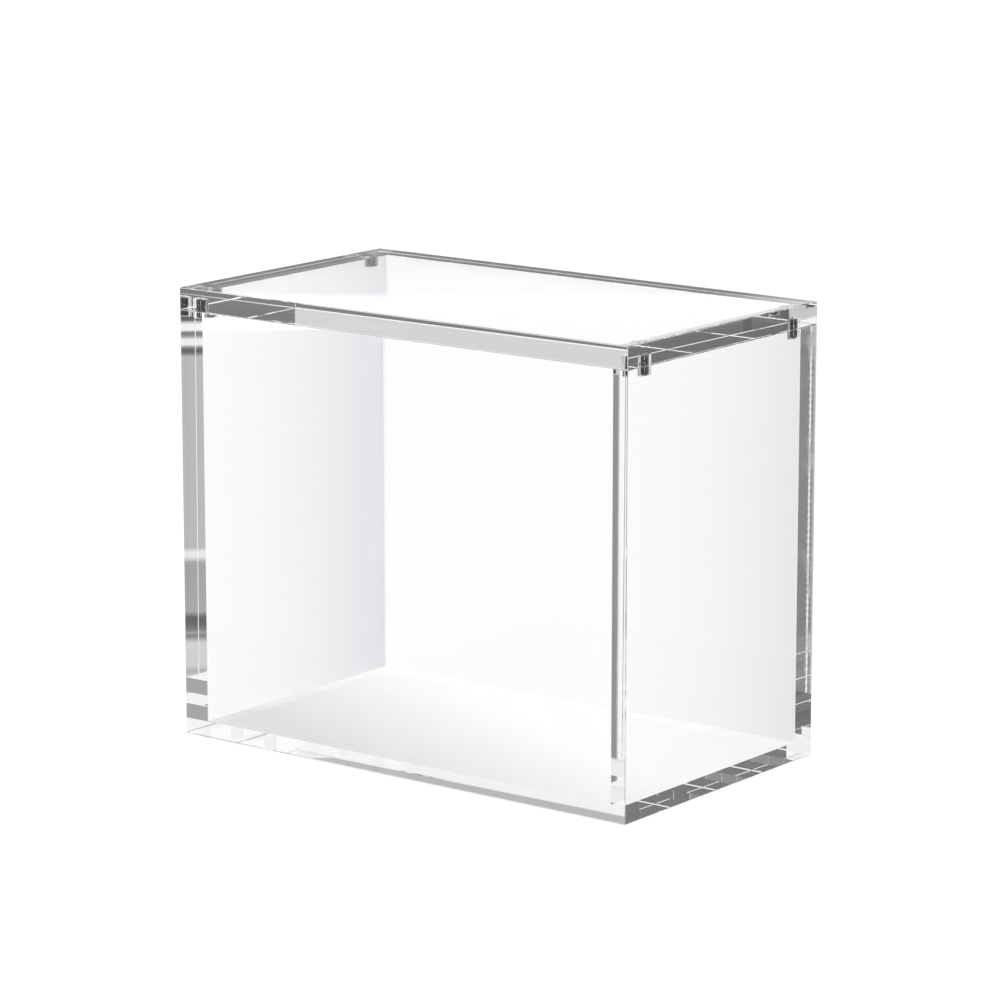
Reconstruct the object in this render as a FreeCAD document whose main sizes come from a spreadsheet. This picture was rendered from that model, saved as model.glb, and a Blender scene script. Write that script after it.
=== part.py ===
import FreeCAD, Part
import math
import os

import Sketcher

# Clear acrylic display case with a loose lid. Five sheets are bonded into an open box: a front and a
# back sheet of full width, two side sheets between them, and a base sheet between all four. The lid is
# a plain sheet of the full footprint. It lies on the walls, and four pairs of small disc magnets, in
# blind pockets near its corners and in the top edges of the side sheets, pull it down and centre it.
# Millimetres. The origin is the centre of the footprint, on the surface the case stands on.
# +X runs along the long side, +Y from the front to the back, +Z up.

DIMENSIONS = {
    "case_width": 195.0,
    "case_depth": 112.0,
    "case_height": 162.5,
    "lid_thick": 8.0,
    "side_thick": 8.0,
    "face_thick": 5.0,
    "base_thick": 5.0,
    "edge_ease": 0.3,
    "magnet_dia": 6.0,
    "magnet_thick": 3.0,
    "magnet_rim": 0.2,
    "magnet_play": 0.2,
    "magnet_recess": 0.1,
    "pocket_spare": 0.75,
    "magnet_inset": 12.0,
}

WALL_HEIGHT = "(Dimensions.case_height - Dimensions.lid_thick)"
SIDE_LENGTH = "(Dimensions.case_depth - 2 * Dimensions.face_thick)"
INNER_WIDTH = "(Dimensions.case_width - 2 * Dimensions.side_thick)"
POCKET_RADIUS = "(Dimensions.magnet_dia / 2 + Dimensions.magnet_play)"
POCKET_DEPTH = "(Dimensions.magnet_recess + Dimensions.magnet_thick + Dimensions.pocket_spare)"
# the magnets sit in the middle of the side sheets' thickness
MAGNET_X = "(Dimensions.case_width / 2 - Dimensions.side_thick / 2)"
MAGNET_Y = "(Dimensions.case_depth / 2 - Dimensions.magnet_inset)"

TOUCH = 1e-6
CORNERS = {
    "front_left": (-1, -1),
    "front_right": (1, -1),
    "back_left": (-1, 1),
    "back_right": (1, 1),
}


def make_sheet(doc):
    """The spreadsheet of driving dimensions, one alias to each."""
    sheet = doc.addObject("Spreadsheet::Sheet", "Dimensions")
    for row, (alias, value) in enumerate(DIMENSIONS.items(), start=1):
        sheet.set(f"A{row}", alias)
        sheet.set(f"B{row}", str(value))
        sheet.setAlias(f"B{row}", alias)
    doc.recompute()
    return sheet


def signed(sign, expression):
    """The expression, turned negative where the sign is."""
    return expression if sign > 0 else f"-{expression}"


def new_body(doc, name):
    """A body whose Label is the name of its sub-part."""
    body = doc.addObject("PartDesign::Body", name)
    body.Label = name
    return body


def place(body, x, y, z):
    """Bind the body's Placement to three expressions."""
    body.setExpression("Placement.Base.x", x)
    body.setExpression("Placement.Base.y", y)
    body.setExpression("Placement.Base.z", z)


def new_sketch(body, name, height):
    """A sketch parallel to the body's own XY plane, at a height above it."""
    sketch = body.newObject("Sketcher::SketchObject", name)
    plane = next(item for item in body.Origin.OriginFeatures if item.Role == "XY_Plane")
    sketch.AttachmentSupport = (plane, [""])
    sketch.MapMode = "FlatFace"
    sketch.setExpression("AttachmentOffset.Base.z", height)
    return sketch


def bind(sketch, constraint, name, expression):
    """Add a named dimension to the sketch and bind it to an expression."""
    index = sketch.addConstraint(constraint)
    sketch.renameConstraint(index, name)
    sketch.setExpression(f"Constraints.{name}", expression)


def rectangle_sketch(body, name, length, width):
    """A rectangle centred on the body's origin, with its sides along X and Y."""
    sketch = new_sketch(body, name, "0")
    corners = [FreeCAD.Vector(x, y, 0) for x, y in ((-10, -5), (10, -5), (10, 5), (-10, 5))]
    for start, end in zip(corners, corners[1:] + corners[:1]):
        sketch.addGeometry(Part.LineSegment(start, end), False)
    for line in range(4):
        sketch.addConstraint(Sketcher.Constraint("Coincident", line, 2, (line + 1) % 4, 1))
    for line, direction in enumerate(("Horizontal", "Vertical", "Horizontal", "Vertical")):
        sketch.addConstraint(Sketcher.Constraint(direction, line))
    sketch.addConstraint(Sketcher.Constraint("Symmetric", 0, 1, 1, 2, -1, 1))
    bind(sketch, Sketcher.Constraint("DistanceX", 0, 1, 0, 2, 20.0), "length", length)
    bind(sketch, Sketcher.Constraint("DistanceY", 1, 1, 1, 2, 10.0), "width", width)
    return sketch


def circles_sketch(body, name, height, radius, centres):
    """Equal circles. Each centre is a pair of signs and expressions: ((sign, x), (sign, y)).

    A coordinate without an expression lies on the other axis.
    """
    sketch = new_sketch(body, name, height)
    for number, ((x_sign, x), (y_sign, y)) in enumerate(centres):
        start = FreeCAD.Vector(20 * x_sign, 20 * y_sign, 0)
        sketch.addGeometry(Part.Circle(start, FreeCAD.Vector(0, 0, 1), 3.0), False)
        if x:
            ends = (number, 3, -1, 1) if x_sign < 0 else (-1, 1, number, 3)
            bind(sketch, Sketcher.Constraint("DistanceX", *ends, 20.0), f"across_{number}", x)
        else:
            sketch.addConstraint(Sketcher.Constraint("PointOnObject", number, 3, -2))
        if y:
            ends = (number, 3, -1, 1) if y_sign < 0 else (-1, 1, number, 3)
            bind(sketch, Sketcher.Constraint("DistanceY", *ends, 20.0), f"along_{number}", y)
        else:
            sketch.addConstraint(Sketcher.Constraint("PointOnObject", number, 3, -1))
        if number:
            sketch.addConstraint(Sketcher.Constraint("Equal", 0, number))
    bind(sketch, Sketcher.Constraint("Radius", 0, 3.0), "radius", radius)
    return sketch


def pad(body, name, profile, length):
    """Pad the profile upwards."""
    feature = body.newObject("PartDesign::Pad", name)
    feature.Profile = profile
    feature.setExpression("Length", length)
    return feature


def pocket(doc, body, name, profile, depth, upwards):
    """Sink the profile into the body, and stop if that took nothing away."""
    doc.recompute()
    before = body.Shape.Volume
    feature = body.newObject("PartDesign::Pocket", name)
    feature.Profile = profile
    feature.Reversed = upwards
    feature.setExpression("Length", depth)
    doc.recompute()
    if body.Shape.Volume > before - 1.0:
        raise RuntimeError(f"{body.Label}: {name} cuts nothing")
    return feature


def edges_between_sides(shape, sides):
    """Names of the edges that lie on two of the sides at once.

    A side is an axis number and a coordinate along it.
    """
    names = []
    for number, edge in enumerate(shape.Edges, start=1):
        points = [vertex.Point for vertex in edge.Vertexes]
        on = [side for side in sides if all(abs(point[side[0]] - side[1]) < TOUCH for point in points)]
        if len(on) == 2:
            names.append(f"Edge{number}")
    return names


def ease_edges(doc, body, base, sides):
    """Chamfer the edges where two of the named sides of the base feature meet.

    A side is a string such as "-x" or "+z".
    """
    doc.recompute()
    box = base.Shape.BoundBox
    limits = {
        "-x": (0, box.XMin),
        "+x": (0, box.XMax),
        "-y": (1, box.YMin),
        "+y": (1, box.YMax),
        "-z": (2, box.ZMin),
        "+z": (2, box.ZMax),
    }
    names = edges_between_sides(base.Shape, [limits[side] for side in sides])
    feature = body.newObject("PartDesign::Chamfer", "eased_edges")
    feature.Base = (base, names)
    feature.setExpression("Size", "Dimensions.edge_ease")
    return feature


def ease_rims(doc, body, base):
    """Round the rim at each end of a disc."""
    doc.recompute()
    rims = [
        f"Edge{number}"
        for number, edge in enumerate(base.Shape.Edges, start=1)
        if isinstance(edge.Curve, Part.Circle)
    ]
    feature = body.newObject("PartDesign::Fillet", "rounded_rims")
    feature.Base = (base, rims)
    feature.setExpression("Radius", "Dimensions.magnet_rim")
    return feature


def build_lid(doc):
    """The lid: a sheet of the full footprint, with a blind magnet pocket under each corner."""
    body = new_body(doc, "lid_panel")
    outline = rectangle_sketch(body, "lid_outline", "Dimensions.case_width", "Dimensions.case_depth")
    sheet = pad(body, "lid_sheet", outline, "Dimensions.lid_thick")
    ease_edges(doc, body, sheet, ("-x", "+x", "-y", "+y", "-z", "+z"))
    centres = [((x_sign, MAGNET_X), (y_sign, MAGNET_Y)) for x_sign, y_sign in CORNERS.values()]
    circles = circles_sketch(body, "lid_pocket_circles", "0", POCKET_RADIUS, centres)
    pocket(doc, body, "lid_pockets", circles, POCKET_DEPTH, upwards=True)
    place(body, "0", "0", WALL_HEIGHT)
    return body


def build_face(doc, name, sign):
    """The front or the back sheet, of the full width of the case."""
    body = new_body(doc, name)
    outline = rectangle_sketch(body, f"{name}_outline", "Dimensions.case_width", "Dimensions.face_thick")
    sheet = pad(body, f"{name}_sheet", outline, WALL_HEIGHT)
    outer = "+y" if sign > 0 else "-y"
    ease_edges(doc, body, sheet, (outer, "-x", "+x", "-z", "+z"))
    place(body, "0", signed(sign, "(Dimensions.case_depth / 2 - Dimensions.face_thick / 2)"), "0")
    return body


def build_side(doc, name, sign):
    """A side sheet, between the front and the back, with two magnet pockets in its top edge."""
    body = new_body(doc, name)
    outline = rectangle_sketch(body, f"{name}_outline", "Dimensions.side_thick", SIDE_LENGTH)
    sheet = pad(body, f"{name}_sheet", outline, WALL_HEIGHT)
    outer = "+x" if sign > 0 else "-x"
    ease_edges(doc, body, sheet, (outer, "-z", "+z"))
    centres = [((sign, None), (y_sign, MAGNET_Y)) for y_sign in (-1, 1)]
    circles = circles_sketch(body, f"{name}_pocket_circles", WALL_HEIGHT, POCKET_RADIUS, centres)
    pocket(doc, body, f"{name}_pockets", circles, POCKET_DEPTH, upwards=False)
    place(body, signed(sign, MAGNET_X), "0", "0")
    return body


def build_base(doc):
    """The base sheet, between all four walls and level with their lower edges."""
    body = new_body(doc, "base_panel")
    outline = rectangle_sketch(body, "base_outline", INNER_WIDTH, SIDE_LENGTH)
    pad(body, "base_sheet", outline, "Dimensions.base_thick")
    place(body, "0", "0", "0")
    return body


def build_magnet(doc, name, x_sign, y_sign, z):
    """A disc magnet, upright in its pocket."""
    body = new_body(doc, name)
    centre = [((1, None), (1, None))]
    circle = circles_sketch(body, f"{name}_circle", "0", "Dimensions.magnet_dia / 2", centre)
    disc = pad(body, f"{name}_disc", circle, "Dimensions.magnet_thick")
    ease_rims(doc, body, disc)
    place(body, signed(x_sign, MAGNET_X), signed(y_sign, MAGNET_Y), z)
    return body


def build_magnets(doc):
    """Four magnets in the lid and four in the side sheets, each just short of the joint."""
    lid_magnet_base = f"{WALL_HEIGHT} + Dimensions.magnet_recess"
    wall_magnet_base = f"{WALL_HEIGHT} - Dimensions.magnet_recess - Dimensions.magnet_thick"
    bodies = []
    for corner, (x_sign, y_sign) in CORNERS.items():
        bodies.append(build_magnet(doc, f"lid_magnet_{corner}", x_sign, y_sign, lid_magnet_base))
        bodies.append(build_magnet(doc, f"wall_magnet_{corner}", x_sign, y_sign, wall_magnet_base))
    return bodies


def check(doc, bodies):
    """Stop at a feature that failed, or at a sub-part that isn't one sound solid."""
    for item in doc.Objects:
        if "Invalid" in item.State or "Error" in item.State:
            raise RuntimeError(f"{item.Label} failed: {item.State}")
    for body in bodies:
        shape = body.Shape
        if shape.isNull() or not shape.isValid() or len(shape.Solids) != 1:
            raise RuntimeError(f"{body.Label} is not one valid solid")


def check_sheet_volume(body, sheet):
    """Stop if the lid has not lost exactly its four pockets and its eased edges."""
    width, depth, thick, ease = (
        sheet.get(alias) for alias in ("case_width", "case_depth", "lid_thick", "edge_ease")
    )
    radius = sheet.get("magnet_dia") / 2 + sheet.get("magnet_play")
    sunk = sheet.get("magnet_recess") + sheet.get("magnet_thick") + sheet.get("pocket_spare")
    pockets = 4 * math.pi * radius**2 * sunk
    eased = 4 * (width + depth + thick) * ease**2 / 2
    expected = width * depth * thick - pockets - eased
    if abs(body.Shape.Volume - expected) > 0.001 * expected:
        raise RuntimeError(f"{body.Label} holds {body.Shape.Volume:.0f} mm3, not {expected:.0f} mm3")


def write_parts(bodies):
    """Write each sub-part, where it lies in the case, to a STEP file of its own."""
    os.makedirs("parts", exist_ok=True)
    for body in bodies:
        body.Shape.exportStep(f"parts/{body.Label}.step")
        print(f"{body.Label}: {body.Shape.Volume:.1f} mm3")


def main():
    doc = FreeCAD.newDocument("display_case")
    sheet = make_sheet(doc)
    lid = build_lid(doc)
    bodies = [
        lid,
        build_face(doc, "front_panel", -1),
        build_face(doc, "back_panel", 1),
        build_side(doc, "left_panel", -1),
        build_side(doc, "right_panel", 1),
        build_base(doc),
    ]
    bodies += build_magnets(doc)
    doc.recompute()
    check(doc, bodies)
    check_sheet_volume(lid, sheet)
    write_parts(bodies)


main()
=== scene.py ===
"""A clear acrylic display case with a magnetic lift-off lid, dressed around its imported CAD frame.

Every sheet is a closed solid of its own. Faces that are cemented to another sheet carry a finish of no
optical effect, so that light runs through a bonded joint as it does through one block. Everywhere else
light meets a real change of index, and the bright and dark bands along the edges come from refraction
and total reflection inside the sheets.
"""

import logging
import math
from dataclasses import dataclass, field
from enum import Enum

import bpy
import numpy as np
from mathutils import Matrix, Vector

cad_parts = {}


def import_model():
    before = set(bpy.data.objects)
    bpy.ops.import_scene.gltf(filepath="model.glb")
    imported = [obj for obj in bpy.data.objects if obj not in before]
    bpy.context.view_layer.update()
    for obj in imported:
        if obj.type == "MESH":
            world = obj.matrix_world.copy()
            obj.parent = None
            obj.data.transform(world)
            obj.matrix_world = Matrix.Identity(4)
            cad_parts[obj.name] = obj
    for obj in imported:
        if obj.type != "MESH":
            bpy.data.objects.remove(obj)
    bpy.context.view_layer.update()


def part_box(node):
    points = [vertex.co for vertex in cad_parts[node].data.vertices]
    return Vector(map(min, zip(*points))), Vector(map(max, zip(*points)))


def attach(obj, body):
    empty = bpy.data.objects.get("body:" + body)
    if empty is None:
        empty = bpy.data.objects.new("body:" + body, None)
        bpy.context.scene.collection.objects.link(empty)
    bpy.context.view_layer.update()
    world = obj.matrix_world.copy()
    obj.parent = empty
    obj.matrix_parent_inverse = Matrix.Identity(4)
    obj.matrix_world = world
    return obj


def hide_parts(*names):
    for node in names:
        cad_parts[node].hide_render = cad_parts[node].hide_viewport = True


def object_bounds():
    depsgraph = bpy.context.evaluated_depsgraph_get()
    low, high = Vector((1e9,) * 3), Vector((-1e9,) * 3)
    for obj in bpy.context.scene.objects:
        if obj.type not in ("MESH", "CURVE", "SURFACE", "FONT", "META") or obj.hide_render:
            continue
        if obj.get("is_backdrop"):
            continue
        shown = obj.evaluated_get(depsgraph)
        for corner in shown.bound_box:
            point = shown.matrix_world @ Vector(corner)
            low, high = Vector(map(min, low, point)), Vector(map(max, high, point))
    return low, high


LOG = logging.getLogger("display_case")
MM = 0.001
ACRYLIC_IOR = 1.49
SQUARE_ON = 0.9  # the least share of an axis in the normal of a face that counts as facing along it
ON_PLANE = 1e-6  # how near a plane, in metres, a point counts as lying in it

Colour = tuple[float, float, float]
Socket = bpy.types.NodeSocket


class Side(Enum):
    """The six sides of an upright sheet, each as its axis number and its sign."""

    LEFT = (0, -1)
    RIGHT = (0, 1)
    FRONT = (1, -1)
    BACK = (1, 1)
    UNDER = (2, -1)
    TOP = (2, 1)


class Dress(Enum):
    """The material slots of a sheet, in order."""

    FACE = 0
    EDGE = 1
    JOINT = 2
    DRILLED = 3


# ---------------------------------------------------------------------------------------------
# small helpers
# ---------------------------------------------------------------------------------------------


def new_object(name: str, verts: np.ndarray, faces: list | np.ndarray) -> bpy.types.Object:
    """Make a mesh object from whole arrays and link it.

    Args:
        name: the object's and its mesh's name.
        verts: an array of points, n by 3, in metres.
        faces: vertex numbers of each face, counter-clockwise seen from outside.

    Returns:
        The new object, at the origin, unturned and unscaled.
    """
    mesh = bpy.data.meshes.new(name)
    rows = faces.tolist() if isinstance(faces, np.ndarray) else faces
    mesh.from_pydata(verts.tolist(), [], rows)
    mesh.update()
    obj = bpy.data.objects.new(name, mesh)
    bpy.context.scene.collection.objects.link(obj)
    return obj


def drop(obj: bpy.types.Object) -> None:
    """Remove an object and its mesh."""
    mesh = obj.data
    bpy.data.objects.remove(obj)
    bpy.data.meshes.remove(mesh)


def settle(obj: bpy.types.Object) -> None:
    """Replace an object's mesh by what its modifiers make of it, and clear the modifiers.

    Args:
        obj: the object.
    """
    graph = bpy.context.evaluated_depsgraph_get()
    finished = bpy.data.meshes.new_from_object(obj.evaluated_get(graph))
    rough = obj.data
    obj.modifiers.clear()
    obj.data = finished
    bpy.data.meshes.remove(rough)
    finished.name = obj.name


def polygon_arrays(mesh: bpy.types.Mesh) -> tuple[np.ndarray, np.ndarray]:
    """Read the centre and normal of every polygon as whole arrays.

    Args:
        mesh: the mesh to read.

    Returns:
        Centres and normals, a row for each polygon.
    """
    count = len(mesh.polygons) * 3
    centres, normals = np.empty(count), np.empty(count)
    mesh.polygons.foreach_get("center", centres)
    mesh.polygons.foreach_get("normal", normals)
    return centres.reshape(-1, 3), normals.reshape(-1, 3)


# ---------------------------------------------------------------------------------------------
# surfaces
# ---------------------------------------------------------------------------------------------


def lattice_box(lines: list[np.ndarray]) -> tuple[np.ndarray, np.ndarray]:
    """The closed surface of a box, cut along lines on every side.

    Each side is a grid: one coordinate held at the box's end, the other two running over their
    lines. The quads of the six grids share the vertices of one lattice, so the surface is closed.

    Args:
        lines: for each axis, the rising coordinates of its cuts, the box's two ends included.

    Returns:
        The points, n by 3, and the quads, m by 4, facing outwards.
    """
    counts = [len(values) for values in lines]
    quads = []
    for axis in range(3):
        u, v = (axis + 1) % 3, (axis + 2) % 3
        grid_u, grid_v = np.meshgrid(np.arange(counts[u] - 1), np.arange(counts[v] - 1), indexing="ij")
        for end in (0, counts[axis] - 1):
            corner = np.zeros((grid_u.size, 4, 3), int)
            corner[:, :, axis] = end
            corner[:, :, u] = grid_u.reshape(-1, 1) + np.array([0, 1, 1, 0])
            corner[:, :, v] = grid_v.reshape(-1, 1) + np.array([0, 0, 1, 1])
            quads.append(corner if end else corner[:, ::-1])
    corners = np.concatenate(quads)
    keys = (corners[..., 0] * counts[1] + corners[..., 1]) * counts[2] + corners[..., 2]
    used, numbers = np.unique(keys, return_inverse=True)
    cells = np.stack(np.unravel_index(used, counts), axis=1)
    points = np.stack([np.asarray(lines[axis])[cells[:, axis]] for axis in range(3)], axis=1)
    return points, numbers.reshape(-1, 4)


def turned_surface(centre: np.ndarray, profile: np.ndarray, steps: int) -> tuple[np.ndarray, list]:
    """A closed surface of revolution about a vertical axis.

    A point is (r cos a, r sin a, z) for each profile point (r, z) and each angle a. The profile
    starts and ends on the axis, where its ring is one point.

    Args:
        centre: the axis's place and the height that profile heights count from.
        profile: radius and height of each profile point, n by 2, running upwards.
        steps: the number of angles in a turn.

    Returns:
        The points and the faces, facing outwards.
    """
    angle = np.arange(steps) * (2 * math.pi / steps)
    rings = profile[1:-1]
    ring = np.stack(
        [
            rings[:, :1] * np.cos(angle),
            rings[:, :1] * np.sin(angle),
            np.repeat(rings[:, 1:], steps, axis=1),
        ],
        axis=2,
    ).reshape(-1, 3)
    poles = np.array([[0, 0, profile[0, 1]], [0, 0, profile[-1, 1]]])
    points = np.concatenate([ring, poles]) + centre
    row, column = np.meshgrid(np.arange(len(rings) - 1), np.arange(steps), indexing="ij")
    after = (column + 1) % steps
    quads = np.stack(
        [row * steps + column, row * steps + after, (row + 1) * steps + after, (row + 1) * steps + column],
        axis=2,
    ).reshape(-1, 4)
    turn = np.arange(steps)
    following = (turn + 1) % steps
    low, high = len(ring), len(ring) + 1
    last = (len(rings) - 1) * steps
    bottom = np.stack([np.full(steps, low), following, turn], axis=1)
    top = np.stack([np.full(steps, high), last + turn, last + following], axis=1)
    return points, quads.tolist() + bottom.tolist() + top.tolist()


def arc(
    centre: tuple[float, float], radius: float, start: float, end: float, steps: int
) -> np.ndarray:
    """Points of an arc in the (r, z) plane: centre + radius (cos a, sin a), a from start to end."""
    angle = np.radians(np.linspace(start, end, steps + 1))
    return np.stack([centre[0] + radius * np.cos(angle), centre[1] + radius * np.sin(angle)], axis=1)


# ---------------------------------------------------------------------------------------------
# shader building blocks
# ---------------------------------------------------------------------------------------------


class Tree:
    """A thin wrapper round a node tree, to place and link nodes in one call."""

    def __init__(self, tree: bpy.types.NodeTree) -> None:
        """Keep the tree and clear it."""
        self.tree = tree
        tree.nodes.clear()

    def node(self, kind: str, values: dict | None = None, **settings: object) -> bpy.types.Node:
        """Add a node.

        Args:
            kind: the node's type name.
            values: plain numbers, or output sockets to link, by input name or number.
            settings: properties of the node itself.

        Returns:
            The node.
        """
        made = self.tree.nodes.new(kind)
        for name, value in settings.items():
            setattr(made, name, value)
        for name, value in (values or {}).items():
            if isinstance(value, bpy.types.NodeSocket):
                self.tree.links.new(value, made.inputs[name])
            else:
                made.inputs[name].default_value = value
        return made

    def maths(self, operation: str, *values: object) -> Socket:
        """A Math node's output."""
        return self.node("ShaderNodeMath", dict(enumerate(values)), operation=operation).outputs[0]

    def times(self, first: object, *others: object) -> Socket:
        """The product of two or more values."""
        for other in others:
            first = self.maths("MULTIPLY", first, other)
        return first

    def size(self, value: object) -> Socket:
        """A value without its sign."""
        return self.maths("ABSOLUTE", value)

    def apart(self, value: object, place: float) -> Socket:
        """How far a value lies from a place."""
        return self.size(self.maths("SUBTRACT", value, place))

    def more(self, value: object, bound: float) -> Socket:
        """1 where a value is over a bound, else 0."""
        return self.maths("GREATER_THAN", value, bound)

    def less(self, value: object, bound: float) -> Socket:
        """1 where a value is under a bound, else 0."""
        return self.maths("LESS_THAN", value, bound)

    def at_least(self, count: object, number: int) -> Socket:
        """1 where a whole count has reached a number, else 0."""
        return self.more(count, number - 0.5)

    def fewer(self, count: object, number: int) -> Socket:
        """1 where a whole count is below a number, else 0."""
        return self.less(count, number - 0.5)

    def close(self, value: object, place: float, reach: float) -> Socket:
        """1 where a value is nearer to a place than a reach, else 0."""
        return self.less(self.apart(value, place), reach)

    def other(self, mask: object) -> Socket:
        """1 where a mask is 0, and 0 where it is 1."""
        return self.maths("SUBTRACT", 1.0, mask)

    def either(self, first: object, second: object) -> Socket:
        """The greater of two values."""
        return self.maths("MAXIMUM", first, second)

    def mixed(self, factor: object, first: object, second: object) -> Socket:
        """A value that goes from the first to the second as the factor goes from 0 to 1."""
        ends = {"Factor": factor, "A": first, "B": second}
        return self.node("ShaderNodeMix", ends, data_type="FLOAT").outputs[0]

    def span(self, value: object, low: float, high: float, to_low: float, to_high: float) -> Socket:
        """A value carried from one range to another and held within it."""
        ends = {"Value": value, "From Min": low, "From Max": high, "To Min": to_low, "To Max": to_high}
        return self.node("ShaderNodeMapRange", ends).outputs["Result"]

    def noise(self, vector: object, scale: object, detail: float) -> Socket:
        """A noise texture's value."""
        ends = {"Vector": vector, "Scale": scale, "Detail": detail}
        return self.node("ShaderNodeTexNoise", ends).outputs[0]

    def relief(self, height: object, strength: float, deep: float) -> Socket:
        """A Bump node's normal."""
        ends = {"Height": height, "Strength": strength, "Distance": deep}
        return self.node("ShaderNodeBump", ends).outputs[0]

    def link(self, source: object, node: bpy.types.Node, name: str) -> None:
        """Link a socket to a named input of a node."""
        self.tree.links.new(source, node.inputs[name])


def surface_group(
    name: str, inputs: dict[str, float], outputs: tuple[str, ...]
) -> tuple[Tree, bpy.types.Node, bpy.types.Node]:
    """Start a shader node group with named sockets.

    Args:
        name: the group's name.
        inputs: each input's name and usual value.
        outputs: the names of its value outputs.

    Returns:
        The wrapped tree, its input node and its output node.
    """
    group = bpy.data.node_groups.new(name, "ShaderNodeTree")
    tree = Tree(group)
    group.interface.new_socket("Place", in_out="INPUT", socket_type="NodeSocketVector")
    for socket, value in inputs.items():
        made = group.interface.new_socket(socket, in_out="INPUT", socket_type="NodeSocketFloat")
        made.default_value = value
    for socket in outputs:
        group.interface.new_socket(socket, in_out="OUTPUT", socket_type="NodeSocketFloat")
    return tree, tree.node("NodeGroupInput"), tree.node("NodeGroupOutput")


def handling_marks() -> bpy.types.NodeTree:
    """The group of faint wipe marks: broad soft smudges, crossed by fine hairline scratches.

    Returns:
        The group. It puts out Smudge and Scratch, each 0 where the surface is clean.
    """
    found = bpy.data.node_groups.get("handling_marks")
    if found:
        return found
    scales = {"Smudge Scale": 18.0, "Scratch Scale": 60.0}
    tree, given, put = surface_group("handling_marks", scales, ("Smudge", "Scratch"))
    place = given.outputs["Place"]
    cloud = tree.noise(place, given.outputs["Smudge Scale"], 3.0)
    drawn_out = {"Vector": place, "Rotation": (0.4, 0.7, 0.5), "Scale": (1.0, 14.0, 1.0)}
    warp = tree.node("ShaderNodeMapping", drawn_out).outputs[0]
    streak = tree.noise(warp, given.outputs["Scratch Scale"], 2.0)
    tree.link(tree.span(cloud, 0.52, 0.75, 0.0, 1.0), put, "Smudge")
    tree.link(tree.span(streak, 0.66, 0.74, 0.0, 1.0), put, "Scratch")
    return tree.tree


def cutter_marks() -> bpy.types.NodeTree:
    """The group of cutter marks on a polished edge: fine regular lines across it, uneven in depth.

    The lines run where x + y + z is the same, so they cross any edge at a slant.

    Returns:
        The group. It puts out Height and Wear.
    """
    found = bpy.data.node_groups.get("cutter_marks")
    if found:
        return found
    tree, given, put = surface_group("cutter_marks", {"Pitch": 900.0}, ("Height", "Wear"))
    split = tree.node("ShaderNodeSeparateXYZ", {0: given.outputs["Place"]})
    slant = tree.maths("ADD", tree.maths("ADD", split.outputs[0], split.outputs[1]), split.outputs[2])
    line = tree.maths("SINE", tree.times(slant, given.outputs["Pitch"]))
    swell = tree.noise(given.outputs["Place"], 140.0, 2.0)
    tree.link(tree.maths("ADD", tree.times(line, 0.25), swell), put, "Height")
    tree.link(tree.span(swell, 0.55, 0.75, 0.0, 1.0), put, "Wear")
    return tree.tree


def group_node(tree: Tree, group: bpy.types.NodeTree, values: dict[str, float]) -> bpy.types.Node:
    """Place a group that reads Object coordinates.

    Args:
        tree: the material's nodes.
        group: the group to place.
        values: its inputs by name.

    Returns:
        The group's node.
    """
    made = tree.node("ShaderNodeGroup", node_tree=group)
    tree.link(tree.node("ShaderNodeTexCoord").outputs["Object"], made, "Place")
    for name, value in values.items():
        made.inputs[name].default_value = value
    return made


def new_material(name: str) -> tuple[bpy.types.Material, Tree, bpy.types.Node]:
    """A material with one Principled shader on its output.

    Args:
        name: the material's name.

    Returns:
        The material, its nodes and its Principled shader.
    """
    mat = bpy.data.materials.new(name)
    mat.use_nodes = True
    tree = Tree(mat.node_tree)
    shader = tree.node("ShaderNodeBsdfPrincipled")
    tree.node("ShaderNodeOutputMaterial", {"Surface": shader.outputs[0]})
    return mat, tree, shader


# ---------------------------------------------------------------------------------------------
# finishes
# ---------------------------------------------------------------------------------------------


@dataclass(frozen=True)
class ClearFace:
    """The cast face of a sheet: optically flat, with faint wipe marks."""

    tint: Colour = (0.994, 0.992, 0.997)
    smudge_haze: float = 0.004
    scratch_haze: float = 0.012

    def build(self) -> bpy.types.Material:
        """Make the material.

        Returns:
            The material.
        """
        mat, tree, shader = new_material("clear_face")
        marks = group_node(tree, handling_marks(), {"Smudge Scale": 16.0, "Scratch Scale": 45.0})
        smudge = tree.times(marks.outputs["Smudge"], self.smudge_haze)
        scratch = tree.times(marks.outputs["Scratch"], self.scratch_haze)
        tree.link(tree.maths("ADD", smudge, scratch), shader, "Roughness")
        glass(shader, self.tint)
        return mat


@dataclass(frozen=True)
class PolishedEdge:
    """A machined and polished edge of a sheet: clear, with faint cutter marks left in it."""

    tint: Colour = (0.994, 0.992, 0.997)
    haze: float = 0.01
    bump: float = 0.004
    pitch: float = 2600.0
    deep: float = 0.02 * MM

    def build(self) -> bpy.types.Material:
        """Make the material.

        Returns:
            The material.
        """
        mat, tree, shader = new_material("polished_edge")
        marks = group_node(tree, cutter_marks(), {"Pitch": self.pitch})
        tree.link(tree.times(marks.outputs["Wear"], self.haze), shader, "Roughness")
        tree.link(tree.relief(marks.outputs["Height"], self.bump, self.deep), shader, "Normal")
        glass(shader, self.tint)
        return mat


@dataclass(frozen=True)
class BondedJoint:
    """A cemented joint: the cement has the index of the sheet, so light passes it unchanged."""

    def build(self) -> bpy.types.Material:
        """Make the material."""
        mat, _, shader = new_material("bonded_joint")
        shader.inputs["Alpha"].default_value = 0.0
        return mat


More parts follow.
